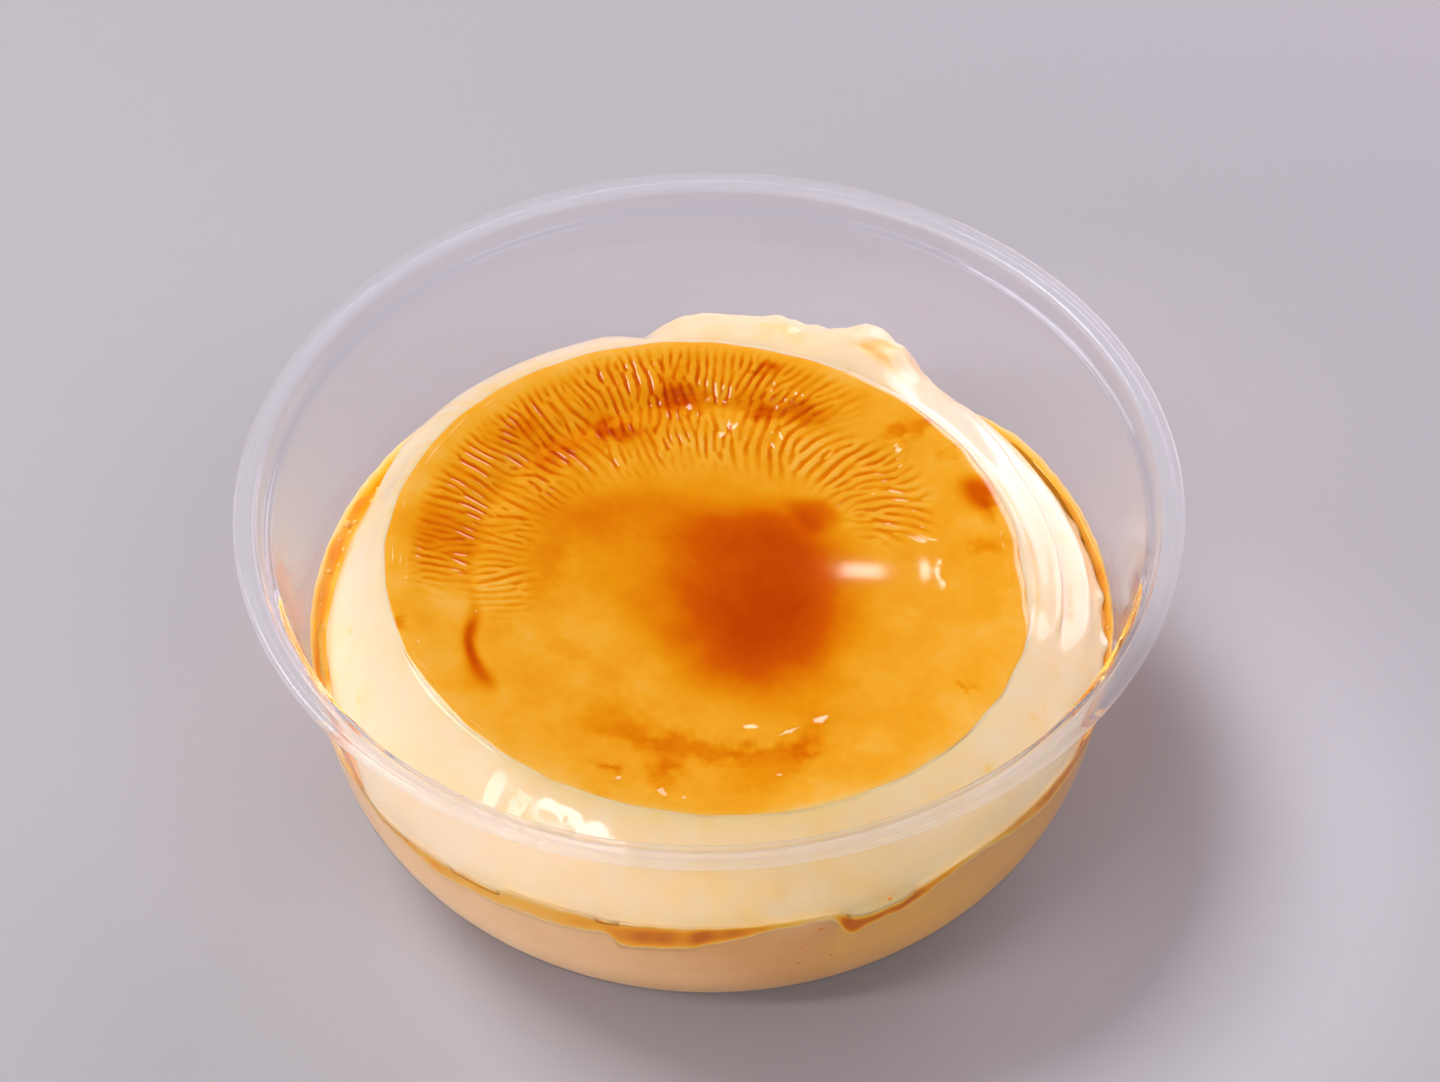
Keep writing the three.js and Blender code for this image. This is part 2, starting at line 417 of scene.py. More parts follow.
def new_tree(name, **inputs):
    """A Geometry Nodes tree whose inputs are given by the kinds of their sockets, and those sockets."""
    tree = bpy.data.node_groups.new(name, "GeometryNodeTree")
    for key, kind in inputs.items():
        tree.interface.new_socket(name=key, in_out="INPUT", socket_type="NodeSocket" + kind)
    tree.interface.new_socket(name="Geometry", in_out="OUTPUT", socket_type="NodeSocketGeometry")
    return tree, add_node(tree, "NodeGroupInput").outputs


def finish_tree(tree, shape, material):
    real = add_node(tree, "GeometryNodeRealizeInstances", {"Geometry": shape})
    smooth = add_node(tree, "GeometryNodeSetShadeSmooth", {"Geometry": real.outputs[0]})
    coated = add_node(tree, "GeometryNodeSetMaterial", {"Geometry": smooth.outputs[0], "Material": material})
    add_node(tree, "NodeGroupOutput", {"Geometry": coated.outputs[0]})


def grow(name, mesh, tree, **inputs):
    """An object with the plain mesh that a tree makes from this one and from inputs by name."""
    piece = add_object(name, mesh)
    modifier = piece.modifiers.new(tree.name, "NODES")
    modifier.node_group = tree
    for item in tree.interface.items_tree:
        if item.in_out == "INPUT" and item.name in inputs:
            modifier[item.identifier] = inputs[item.name]
    graph = bpy.context.evaluated_depsgraph_get()
    grown = bpy.data.meshes.new_from_object(piece.evaluated_get(graph))
    piece.modifiers.clear()
    piece.data = grown
    return piece


def revolve_tree():
    """Sweeps an outline, drawn beside a circle, all the way round that circle."""
    tree, given = new_tree("revolved outline", Outline="Geometry", Segments="Int", Radius="Float",
                           Material="Material")
    outline = add_node(tree, "GeometryNodeMeshToCurve", {"Mesh": given["Outline"]})
    circle = add_node(tree, "GeometryNodeCurvePrimitiveCircle",
                      {"Resolution": given["Segments"], "Radius": given["Radius"]})
    upright = add_node(tree, "GeometryNodeSetCurveNormal", {"Curve": circle.outputs[0]}, mode="Z_UP")
    swept = add_node(tree, "GeometryNodeCurveToMesh",
                     {"Curve": upright.outputs[0], "Profile Curve": outline.outputs[0]})
    closed = add_node(tree, "GeometryNodeMergeByDistance",
                      {"Geometry": swept.outputs[0], "Distance": MERGE_DISTANCE * MM})
    finish_tree(tree, closed.outputs[0], given["Material"])
    return tree


BOWL_SEGMENTS = 288
CIRCLE_RADIUS = 20.0
MERGE_DISTANCE = 0.001
RIM_DEPTH = 1.7


def make_bowl(material, rim_material):
    """The bowl, revolved from its outline, with its flange and bead in their own finish."""
    outline = bowl_outline()[::-1]
    points = [(radius - CIRCLE_RADIUS, -height, 0) for radius, height in outline]
    mesh = new_mesh("bowl_outline", points, edges=[(i, i + 1) for i in range(len(points) - 1)])
    piece = grow("bowl_wall", mesh, revolve_tree(), Segments=BOWL_SEGMENTS, Radius=CIRCLE_RADIUS * MM,
                 Material=material)
    finish_piece(piece, "clear_plastic", material, "bowl")
    piece.data.materials.append(rim_material)
    for face in piece.data.polygons:
        face.material_index = int(face.center.z > (HEIGHT - RIM_DEPTH) * MM)


def clear_polypropylene(name, clearness):
    """Clear moulded polypropylene: so thin that it hardly bends what is behind it, with a clean gloss,
    and a little milky where it is thick. Lamps shine through it."""
    material, tree = new_material(name)
    plastic = add_node(tree, "ShaderNodeBsdfPrincipled", {
        "Base Color": hex_colour("#FCFCFF"),
        "Roughness": 0.02,
        "IOR": 1.01,
        "Transmission Weight": clearness,
        "Coat Weight": 0.5,
        "Coat IOR": 1.5,
        "Coat Roughness": 0.02,
    })
    lit_through = add_node(tree, "ShaderNodeBsdfTransparent", {"Color": hex_colour("#F6F6F8")})
    shadow = add_node(tree, "ShaderNodeLightPath").outputs["Is Shadow Ray"]
    either = add_node(tree, "ShaderNodeMixShader",
                      {0: shadow, 1: plastic.outputs[0], 2: lit_through.outputs[0]})
    return finish_material(material, either)


# -------- the food's common shapes
def wall_radius(height):
    """Where the food ends inside the wall, at a height above the rounded corner."""
    outside = WALL_TOP_RADIUS - (HEIGHT - LEDGE_DROP - height) * math.tan(WALL_SLOPE)
    return outside - WALL / math.cos(WALL_SLOPE) + INTO_WALL


def seam_height(radius, angle=ROUND):
    """The height of the lower custard's face, with its waves full at the wall and none in the middle."""
    waves = wave(angle, *SEAM_TILT) + wave(angle, *SEAM_SADDLE)
    return SEAM_HEIGHT + waves * (radius / FOOT_RADIUS) ** 2


def contact(angle):
    """1 in front, where the turned-out custard's foot lies against the wall, and 0 where it is clear."""
    return span(away(angle, CONTACT_MIDDLE), -CONTACT_END, -CONTACT_FULL, CONTACT_FULL, CONTACT_END)




def foot_height(angle, evened=0.0):
    """How high the turned-out custard's foot lies, in full detail or evened out."""
    clear = seam_height(FOOT_RADIUS, angle) + FOOT_LIFT
    shifts = (-1, -0.5, 0, 0.5, 1)
    at_wall = sum(keyed(angle + shift * evened, SEAM_BAND, 1) for shift in shifts) / len(shifts)
    return clear + (at_wall - FOOT_SINK - clear) * contact(angle)


# Where the foot stands clear of the wall: angle, radius.
FOOT = np.array([(-20, 49.8), (30, 49.8), (38, 50.1), (46, 50.9), (76, 50.9), (88, 49.8), (100, 48.8),
                 (150, 48.4), (168, 48.5), (185, 49.1), (205, 49.3)])
# Lips of custard that hang over the sauce on the right: angle, reach, width.
LIPS = ((2, 0.8, 2.2), (-8, 0.8, 1.8), (-14, 0.7, 3.0), (17, 0.6, 2.0), (31, 0.4, 3.0))


def foot_radius(angle):
    clear = keyed(angle, FOOT, 1)
    return clear + (wall_radius(foot_height(angle, EVENED)) - clear) * contact(angle)


def foot_lips(angle):
    """How far the foot's uneven edge stands out beyond its smooth course."""
    return (0.12 * waver(angle, 8, 24, 5) + humps(angle, LIPS)) * (1 - contact(angle))


def right_side(angle):
    """1 on the right, where the custard's side lies in two terraces."""
    return span(away(angle, 0), -16, -6, 36, 52)


def shoulder_radius(angle):
    return TOP_RADIUS + wave(angle, *TOP_OVAL) - humps(angle, TOP_DENT)


def bare_shoulder(angle):
    """How far the custard's shoulder shows outside the skin, on the right."""
    return humps(angle, BARE_SHOULDER)


def top_radius(angle):
    return shoulder_radius(angle) - bare_shoulder(angle) + 0.07 * waver(angle, 10, 40, 3)


def top_height(share, angle=ROUND):
    """The height of the top's face, which leans, sinks to a dish and rolls over at its edge."""
    radius = share * top_radius(angle)
    lean = TOP_TILT * radius * np.cos(np.radians(angle))
    dish = DISH_DEPTH * (1 - (radius / shoulder_radius(angle)) ** 2)
    roll = (0.1 + 0.4 * right_side(angle)) * (np.clip(share - 0.95, 0, None) / 0.05) ** 2
    return TOP_HEIGHT + lean - dish - roll


# -------- custard
def mottled(tree, attribute, lumps, detail, unevenness, ends, between):
    """The colour for a depth that an attribute gives, made uneven by lumps of this size in millimetres:
    one of two ends, or of the colours by depth between them."""
    where = add_node(tree, "ShaderNodeTexCoord").outputs["Object"]
    depth = add_node(tree, "ShaderNodeAttribute", attribute_name=attribute).outputs["Fac"]
    noise = add_node(tree, "ShaderNodeTexNoise",
                     {"Vector": where, "Scale": 1 / (lumps * MM), "Detail": detail})
    uneven = add_node(tree, "ShaderNodeMath",
                      {0: noise.outputs["Fac"], 1: unevenness, 2: -unevenness / 2}, operation="MULTIPLY_ADD")
    share = add_node(tree, "ShaderNodeMath",
                     {0: depth, 1: uneven.outputs[0]}, operation="ADD", use_clamp=True)
    ramp = add_node(tree, "ShaderNodeValToRGB", {"Fac": share.outputs[0]})
    stops = ramp.color_ramp.elements
    stops[0].color, stops[1].color = (hex_colour(code) for code in ends)
    for place, code in between:
        stops.new(place).color = hex_colour(code)
    return ramp.outputs["Color"]


# The size of set custard's fine unevenness.
GRAIN = 1.6 * MM


def set_custard(name, pale, tinted_and_shaded, gleam):
    """Set egg custard, turned out of its mould: dense, moist and smooth, so light goes a few
    millimetres in, and in the open the face has a thin wet gloss. Syrup that ran over it tints it, and
    the same tint is painted on as shade."""
    material, tree = new_material(name)
    where = add_node(tree, "ShaderNodeTexCoord").outputs["Object"]
    gloss = add_node(tree, "ShaderNodeAttribute", attribute_name="gloss").outputs["Fac"]
    fine = add_node(tree, "ShaderNodeTexNoise", {"Vector": where, "Scale": 1 / GRAIN, "Detail": 3})
    bump = add_node(tree, "ShaderNodeBump",
                    {"Height": fine.outputs["Fac"], "Strength": 0.25, "Distance": 0.1 * MM})
    shader = add_node(tree, "ShaderNodeBsdfPrincipled", {
        # The tint, from syrup and from painted shade, turns the pale colour towards the tinted one.
        "Base Color": mottled(tree, "tint_and_shade", 9, 4.0, 0.22, (pale, "#D98A12"),
                              ((0.45, tinted_and_shaded), (0.75, "#EDB04A"))),
        "Roughness": 0.35,
        "Normal": bump.outputs["Normal"],
        "Subsurface Weight": 0.35,
        "Subsurface Radius": (1.0, 0.55, 0.25),
        "Subsurface Scale": 3 * MM,
        "Specular IOR Level": gleam,
        "Coat Weight": gloss,
        "Coat Roughness": 0.06,
    })
    return finish_material(material, shader)


# Below the seam's lower edge: how far, and how much of its colour shows through.
SEAM_GLOW = ((1.1, 0.15), (0.7, 0.25), (0.4, 0.4), (0.2, 0.6), (0.0, 0.8))


def make_lower_custard(material):
    """The custard in the bowl's rounded base, as high as the seam's lower edge, with painted shade on all but
    its front left.
    """
    inset = WALL - INTO_WALL
    base = inset + RECESS_DEPTH
    outline = [(0, base), (12, base), (RECESS_RADIUS - 1.0, base), (RECESS_RADIUS - 0.4, inset), (26, inset)]
    rings = [polar(radius, height) for radius, height in [*outline, *corner_arc(inset, 20)]]
    upper, lower, dark = (keyed(ROUND, SEAM_BAND, column) for column in (1, 2, 3))
    # Painted shade: the custard is darkened towards its tinted colour all round but on the front left, and
    # most on the front right.
    painted_shade = 0.25 * (1 - turn_hump(ROUND, -128, 34)) + 0.3 * turn_hump(ROUND, -56, 38)
    tints_and_shades = [painted_shade for _ in rings]
    start = CORNER_RADIUS * (1 - math.sin(WALL_SLOPE))
    levels = [(start + (lower - start) * (1 - below), painted_shade + 0.06 * dark) for below in (0.9, 0.6, 0.4)]
    levels += [(lower - below, painted_shade * (1 - glow) + glow * dark) for below, glow in SEAM_GLOW]
    levels.append((0.5 * (upper + lower), dark))
    for height, tint_and_shade in levels:
        rings.append(polar(wall_radius(height), height))
        tints_and_shades.append(tint_and_shade)
    for share in (0.9, 0.5, 0.0):
        rings.append(polar(share * FOOT_RADIUS, seam_height(share * FOOT_RADIUS)))
        tints_and_shades.append(dark)
    piece = skin("lower_custard_set", rings, {"tint_and_shade": tints_and_shades})
    finish_piece(piece, "lower_custard", material, "lower_custard")


SIDE_ROWS = 56
# The steps between the side's rows and columns, in millimetres.
SIDE_STEPS = (0.24, 2 * math.pi * 45 / SEGMENTS)
# How far the side's edge lies outside and below the top's, and the hidden faces from seam and skin.
EDGE_OUT = 0.1
EDGE_DROP = 0.22
ABOVE_SEAM = 0.6
BELOW_SKIN = 1.1
BACK_FULLNESS = 0.45
CREASE_DEPTH = 0.2
NOTCH_DEPTH = 0.12
WETNESS = 0.7
# How tinted the custard is, and how dark the caramel, where other food hides it.
HIDDEN_TINT = 0.5
HIDDEN_DARK = 0.8
# Small yellow marks on the side: angle, share of the way up, half length in degrees, strength.
MARKS = ((-171, 0.55, 0.9, 0.35), (-159, 0.42, 0.8, 0.3), (-27, 0.63, 0.6, 0.3), (-30, 0.69, 0.5, 0.25),
         (-43, 0.69, 0.7, 0.35))
# Where the fold between the right side's two terraces runs: angle, share of the way up.
FOLD_ANGLES = (-10, 0, 10, 20, 28, 34, 42)
FOLD_SHARES = (0.66, 0.63, 0.60, 0.57, 0.52, 0.40, 0.30)


def make_upper_custard(material):
    """The turned-out custard: its side from foot to shoulder, closed under the skin and over the seam."""
    turn, share = np.meshgrid(ROUND, np.linspace(0, 1, SIDE_ROWS))
    foot = foot_radius(ROUND)
    edge = shoulder_radius(ROUND) + EDGE_OUT
    low = foot_height(ROUND, EVENED)
    high = top_height(1) - EDGE_DROP - 0.36 * bare_shoulder(ROUND)

    def noise(size, seed):
        return noise_field(turn.shape, SIDE_STEPS, size, seed)

    # The side climbs to a rounded edge. At the back it is fuller, and torn in a slab and a lump.
    torn = keyed(turn, TORN, 1)
    is_torn = np.clip(torn, 0, 1)
    full = BACK_FULLNESS * span(turn, 97, 108, 144, 160)
    belly = np.maximum(torn, full) * np.sin(np.pi * share)
    climb = share + 0.8 * share ** 10 * (1 - share)
    radius = foot + (edge - foot) * share ** SIDE_ROUNDNESS + TORN_OUT * belly
    height = low + (high - low) * climb + TORN_UP * belly

    # Layers and knobs on the torn part, and slow waves everywhere.
    calm = np.sin(np.pi * share) ** 0.7
    layers = np.sin(2 * math.pi * (3.0 * share + 0.3 * noise(5.0, 25)))
    radius += (0.2 * layers + 0.22 * noise(2.2, 21)) * calm * is_torn
    radius += calm * (0.07 * noise(6.0, 22) + (0.008 + 0.03 * is_torn) * noise(0.9, 23))

    # The right side's terraces: the fold that parts them, and a crest on each.
    on_right = right_side(turn)
    fold = np.interp(away(turn, 0), FOLD_ANGLES, FOLD_SHARES)
    crests = 0.5 * hump(share, fold - 0.22, 0.12) + 0.25 * hump(share, fold + 0.12, 0.08)
    radius += on_right * (crests - 0.7 * hump(share, fold, 0.06))
    height += 0.25 * on_right * hump(share, fold + 0.12, 0.11)

    # The foot's own course and lips, which die out just above it, and the wall that holds it in.
    at_foot = hump(share, 0, 0.09)
    height += (foot_height(ROUND) - low) * at_foot
    radius = np.minimum(radius + foot_lips(ROUND) * at_foot, wall_radius(height) + 0.02)

    # The deep yellow crease where the torn lump parts from the shoulder.
    crease = turn_hump(turn, 60, 3.5) * hump(share, 0.74 + 0.03 * away(turn, 62), 0.05)
    radius -= CREASE_DEPTH * crease
    height -= CREASE_DEPTH * crease
    # The faint notch below the bare shoulder on the right.
    notch = hump(share, 0.965, 0.012) * np.clip(bare_shoulder(turn), 0, 1)
    radius -= NOTCH_DEPTH * notch

    # Syrup tints the front, the edge, the crease and lump and the foot. The back left and the hollows of the
    # torn layers are tinted as painted shade.
    # Painted shade on the back left of the side, with faint streaks.
    painted_shade_back_left = span(turn, 112, 125, 168, 182)
    tint_and_shade = 0.31 * turn_hump(turn, -76, 42) * smoothstep(1.0, 0.6, share)
    tint_and_shade += 0.28 * hump(share, 1.0, 0.14) * turn_hump(turn, -85, 55)
    tint_and_shade += painted_shade_back_left * (0.12 + 0.05 * waver(turn, 50, 150, 26))
    tint_and_shade += 0.5 * crease + 0.8 * turn_hump(turn, 59, 4.5) * hump(share, 0.79, 0.06)
    tint_and_shade += 0.4 * turn_hump(turn, 76, 4) * hump(share, 0.8, 0.14) + 0.35 * notch
    # Painted shade in the torn layers' hollows, and some random tone.
    tint_and_shade += 0.12 * is_torn * np.clip(-layers, 0, 1) + 0.05 * noise(3.0, 24)
    for middle, level, length, strength in MARKS:
        tint_and_shade += strength * turn_hump(turn, middle, length) * hump(share, level, 0.035)
    tint_and_shade += 0.4 * hump(share, -0.02, 0.04)

    # It is wet and glossy in the open, and dull where it lies against the wall or is torn.
    gloss = WETNESS * (1 - contact(turn) * smoothstep(0.75, 0.45, share)) * (1 - 0.75 * is_torn)

    rings = [polar(part * foot, seam_height(part * FOOT_RADIUS) + ABOVE_SEAM) for part in (0, 0.4, 0.9)]
    rings += list(polar(radius, height, turn))
    skin_end = top_radius(ROUND)
    face = top_height(1)
    rings.append(polar(0.5 * (edge + skin_end), face - 0.12 - 0.13 * bare_shoulder(ROUND)))
    rings.append(polar(skin_end - 0.4, face - 0.3))
    rings += [polar(part * skin_end, top_height(part) - BELOW_SKIN) for part in (0.95, 0.8, 0.6, 0.3, 0)]
    tints_and_shades = [HIDDEN_TINT] * 3 + list(np.clip(tint_and_shade, 0, 1)) + [tint_and_shade[-1]] * 2 + [HIDDEN_TINT] * 5
    glosses = [0.0] * 3 + list(gloss) + [gloss[-1]] * 7
    piece = skin("upper_custard_turned_out", rings, {"tint_and_shade": tints_and_shades, "gloss": glosses})
    finish_piece(piece, "upper_custard", material, "upper_custard")


# -------- caramel
def caramel_sauce(name, wet):
    """Thin caramel sauce boiled from sugar: clear amber, darker where it lies deep, and glossy where
    it is wet to the air."""
    material, tree = new_material(name)
    shader = add_node(tree, "ShaderNodeBsdfPrincipled", {
        "Base Color": mottled(tree, "dark", 3.5, 5.0, 0.2, ("#F5CD94", "#CE6600"),
                              ((0.3, "#F8B53C"), (0.6, "#F69A06"))),
        "Roughness": 0.3,
        "Specular IOR Level": 0.3 * wet,
        "Subsurface Weight": 0.2,
        "Subsurface Radius": (1.0, 0.4, 0.1),
        "Subsurface Scale": MM,
        "Coat Weight": wet,
        "Coat Roughness": 0.03,
    })
    return finish_material(material, shader)


# How the seam's caramel deepens from its lower edge to its upper one: share of its height, depth.
SEAM_FADE = ((0, 0.0), (0.08, 0.2), (0.2, 0.7), (0.4, 1.0), (0.68, 0.95), (0.84, 0.55), (0.94, 0.2), (1, 0.0))
# How far the seam's band stands out into the wall.
SEAM_PROUD = 0.06


def make_caramel_seam(material):
    """The seam between the custards, as a thin layer that shows as a band along the wall."""
    upper = soft_keyed(ROUND, SEAM_BAND, 1) + 0.25 + 0.07 * waver(ROUND, 30, 110, 31)
    lower = soft_keyed(ROUND, SEAM_BAND, 2) - 0.25 + 0.08 * waver(ROUND, 30, 120, 32)
    dark = soft_keyed(ROUND, SEAM_BAND, 3) * (1 + 0.1 * waver(ROUND, 20, 90, 36))
    rings = [polar(radius, seam_height(radius)) for radius in (0, 30, 46)]
    for share, _ in SEAM_FADE:
        height = lower + (upper - lower) * share
        rings.append(polar(wall_radius(height) + SEAM_PROUD, height))
    foot = foot_radius(ROUND)
    level = foot_height(ROUND) - 0.6
    rings.append(polar(0.5 * (foot + wall_radius(level)), np.minimum(level, upper - 0.3)))
    rings.append(polar(foot - 0.8, level))
    rings += [polar(radius, seam_height(radius) + LAYER_THICKNESS) for radius in (30, 0)]
    darks = [HIDDEN_DARK] * 3 + [dark * depth for _, depth in SEAM_FADE] + [HIDDEN_DARK] * 4
    piece = skin("caramel_seam", rings, {"dark": darks})
    finish_piece(piece, "caramel_sauce", material, "caramel_layer")


RING_ROWS = 16
# How far the ring reaches in under the custard's foot, and how dark it is where that hides it.
RING_INWARDS = 0.5
RING_HIDDEN_DARK = 0.7


def ring_wall_radius(height):
    """Where the sauce ring ends, just inside the wall."""
    return wall_radius(height) - INTO_WALL + 0.1


def ring_face(turn, share):
    """The sauce ring's face, from the custard's foot to the wall: its radius and height."""
    behind = span(turn % 360, 36, 44, 148, 160)
    open_share = 1 - contact(turn)
    level = foot_height(turn) - 0.15 - 0.5 * contact(turn) - 0.6 * behind
    bank = (0.9 + 0.25 * waver(turn, 6, 40, 33)) * open_share * (1 - 0.8 * behind) - 0.4 * (1 - open_share)
    lift = bank * hump(share, 1, 0.24) + 0.3 * open_share * hump(share, 0.25, 0.12)
    height = level + lift + 0.05 * waver(turn, 20, 70, 34) * np.sin(np.pi * share)
    foot = foot_radius(turn) - RING_INWARDS
    return foot + (ring_wall_radius(height) - foot) * share, height


def make_sauce_ring(material):
    """Sauce in the groove between the turned-out custard's foot and the wall, creeping up both."""
    turn, share = np.meshgrid(ROUND, np.linspace(0, 1, RING_ROWS))
    radius, height = ring_face(turn, share)
    dark = 0.48 - 0.2 * hump(share, 1, 0.15) - 0.2 * hump(share, 0.2, 0.1) + 0.08 * waver(turn, 8, 50, 35)
    inside = radius[0] - RING_INWARDS
    low = foot_height(ROUND) - 1.8
    rings = [polar(0, SEAM_HEIGHT + 0.4), polar(inside, low)]
    rings.append(polar(ring_wall_radius(low), low))
    rings += list(polar(radius, height, turn))[::-1]
    rings += [polar(inside, height[0] - 0.2), polar(0, SEAM_HEIGHT + 0.8)]
    darks = [RING_HIDDEN_DARK] * 3 + list(dark)[::-1] + [RING_HIDDEN_DARK] * 2
    piece = skin("caramel_sauce_ring", rings, {"dark": darks})
    finish_piece(piece, "caramel_sauce", material)


def beads_tree():
    """Sets a round bead on every point, as wide as the point's size, all equally dark."""
    tree, given = new_tree("beads on points", Points="Geometry", Roundness="Int", Darkness="Float",
                           Material="Material")
    size = add_node(tree, "GeometryNodeInputNamedAttribute", {"Name": "size"}, data_type="FLOAT")
    bead = add_node(tree, "GeometryNodeMeshIcoSphere", {"Radius": 1.0, "Subdivisions": given["Roundness"]})
    shaded = add_node(tree, "GeometryNodeStoreNamedAttribute", {
        "Geometry": bead.outputs["Mesh"],
        "Name": "dark",
        "Value": given["Darkness"],
    }, data_type="FLOAT", domain="POINT")
    placed = add_node(tree, "GeometryNodeInstanceOnPoints", {
        "Points": given["Points"],
        "Instance": shaded.outputs[0],
        "Scale": size.outputs["Attribute"],
    })
    finish_tree(tree, placed.outputs[0], given["Material"])
    return tree


BEAD_ROUNDNESS = 3
BUBBLE_DARK = 0.25
SPECK_DARK = 0.8


def make_beads(name, tree, centres, sizes, darkness, material):
    """Beads round these centres, with these radii, in millimetres."""
    mesh = new_mesh(name, centres)
    store(mesh, "size", np.array(sizes, np.float32) * MM)
    piece = grow(name, mesh, tree, Roundness=BEAD_ROUNDNESS, Darkness=darkness, Material=material)
    finish_piece(piece, "caramel_sauce", material)


# Stretches of the sauce ring with bubbles: first and last angle, how many, smallest and largest radius.
BUBBLES = ((150, 162, 6, 0.25, 0.6), (162, 172, 4, 0.2, 0.4), (172, 200, 6, 0.15, 0.3),
           (-16, 12, 5, 0.15, 0.35), (14, 50, 6, 0.15, 0.35))
# Specks of caramel under the wall: angle, height, radius.
SPECKS = ((-143.5, 23.2, 0.35), (-75.8, 25.3, 0.3), (-78.4, 21.4, 0.22), (-78.7, 17.8, 0.25),
          (-73.8, 18.0, 0.22), (-37.5, 25.3, 0.3), (-66, 27.6, 0.2), (-131, 23.0, 0.2))


def make_bubbles_and_specks(wet_sauce, dull_sauce):
    """Air bubbles in the sauce ring and specks of caramel on the custard under the wall."""
    random = np.random.default_rng(41)
    tree = beads_tree()
    centres = []
    sizes = []
    for first, last, count, smallest, largest in BUBBLES:
        turn = random.uniform(first, last, count)
        size = random.uniform(smallest, largest, count)
        radius, height = ring_face(turn, random.uniform(0.35, 0.85, count))
        centres += list(polar(radius, height - 0.35 * size, turn))
        sizes += list(size)
    make_beads("sauce_bubbles", tree, centres, sizes, BUBBLE_DARK, wet_sauce)
    turn, height, size = np.array(SPECKS).T
    places = polar(wall_radius(height) - 0.6 * size, height, turn)
    make_beads("seam_specks", tree, places, size, SPECK_DARK, dull_sauce)


# -------- the caramel-soaked top
# The grid of the top's relief and stains: step and half side.
FIELD_STEP = 0.16
FIELD_REACH = 42.0
# The spacings of the finer and broader folds, and the depth of their valleys.
WRINKLE_LENGTHS = (1.2, 1.55)
WRINKLE_RELIEF = 0.07

# Where the top has soaked up more caramel: middle x and y, half its length and width, the turn of the
# length from +X, how much darker it is, and how sharp its edge is.
STAINS = [
    # the pool of syrup with its lobe
    (5.2, -3.6, 15.8, 13.2, 90, 0.3, 5), (5.8, -7, 13, 10, 90, 0.28, 2.2), (13.4, 11.2, 3.2, 3.2, 0, 0.3, 5),
    (10.5, 6.5, 4.5, 4.5, 0, 0.1, 2.5), (5, 8, 8.5, 4, 6, 0.1, 2.5), (0, 9.5, 9, 3.5, 12, 0.08, 2),
    (12, -4, 7, 10, 0, 0.06, 2.5),
    # smears beside the pool
    (-8, 11, 14, 6.5, 8, 0.14, 2.6), (-13, 11, 7.5, 2.6, 15, 0.12, 2), (-20.5, 1, 6.5, 2.2, 80, 0.14, 2),
    (-12, 2, 8, 9, 0, 0.08, 2.6), (-16, -14.5, 4, 1.2, 150, 0.08, 2),
    # the dark arc in front, and what runs out from it
    (-12.5, -24, 4, 3.6, 0, 0.15, 2), (-5.5, -28, 7.5, 1.9, -14, 0.24, 2), (4, -29.5, 6.5, 1.4, 4, 0.2, 2),
    (11, -27.5, 4.2, 1.6, 62, 0.22, 2), (5.5, -33.5, 4.6, 3.2, 20, 0.17, 2), (-6, -33, 1.8, 3.4, 0, 0.26, 2),
    (-12.8, -32.8, 1.3, 0.7, 150, 0.36, 2),
    # burnt patches along the groove at the back and on the right
    (-4.8, 31, 2.4, 3.2, 10, 0.26, 2), (-1, 30.4, 7, 1.5, 4, 0.2, 2), (-13, 24.6, 1.9, 2.2, 0, 0.4, 2),
    (-10, 24.8, 3.2, 1.6, 0, 0.26, 2), (-19, 20.5, 5, 2.4, 40, 0.3, 2), (-24.5, 23.5, 3, 1.6, 35, 0.2, 2),
    (7, 28.6, 1.7, 1.2, 0, 0.36, 2), (12, 28.8, 4, 1.4, -10, 0.24, 2), (7.8, 35.8, 1.2, 0.9, 0, 0.32, 2),
    (-33.5, 5, 4.6, 5, 90, 0.16, 2), (25, 25, 1.8, 1.5, 40, 0.3, 2), (28.4, 26.6, 1.4, 0.9, 40, 0.28, 2),
    (31, 21, 1.6, 1, 60, 0.12, 2), (35, 14, 2.2, 2.6, 0, 0.46, 3), (36.2, 11.5, 1.2, 2.2, 10, 0.26, 2),
    (35.5, 5.2, 2.4, 1.5, 0, 0.2, 2), (31.2, -18.8, 1, 0.6, 0, 0.2, 2),
    # the crease on the left
    (-29, -12, 4.8, 0.8, -86, 0.44, 2.5), (-28.4, -16.5, 3.6, 0.8, -72, 0.3, 2.5),
    (-28, -19.5, 2.6, 1.2, -66, 0.12, 2.5), (-38.5, -11, 0.6, 1.2, 0, 0.25, 2),
]


def stain(x, y, at_x, at_y, length, width, turn, depth, sharpness):
    """An oval patch on the top, of some depth in its middle and with a soft or a sharp edge."""
    along = math.cos(math.radians(turn))
    aside = math.sin(math.radians(turn))
    u = ((x - at_x) * along + (y - at_y) * aside) / length
    v = ((y - at_y) * along - (x - at_x) * aside) / width
    return depth * np.exp(-(u * u + v * v) ** (sharpness / 2))


# Flats in the syrup in front that mirror the small lamp: middle x and y, half length and width, turn.
FLATS = [(4.6, -25, 1.7, 1.3, 10), (9.4, -25.6, 3.6, 0.8, 30), (13.2, -23.6, 2.2, 1.2, 30)]
# Patches of tiny ones at the back: middle x and y, half length and width, how many.
SPARKLES = ((5.5, 24.3, 4.5, 2.4, 13), (-0.5, 30.3, 4.5, 0.8, 5), (11, 31, 3, 1, 4))


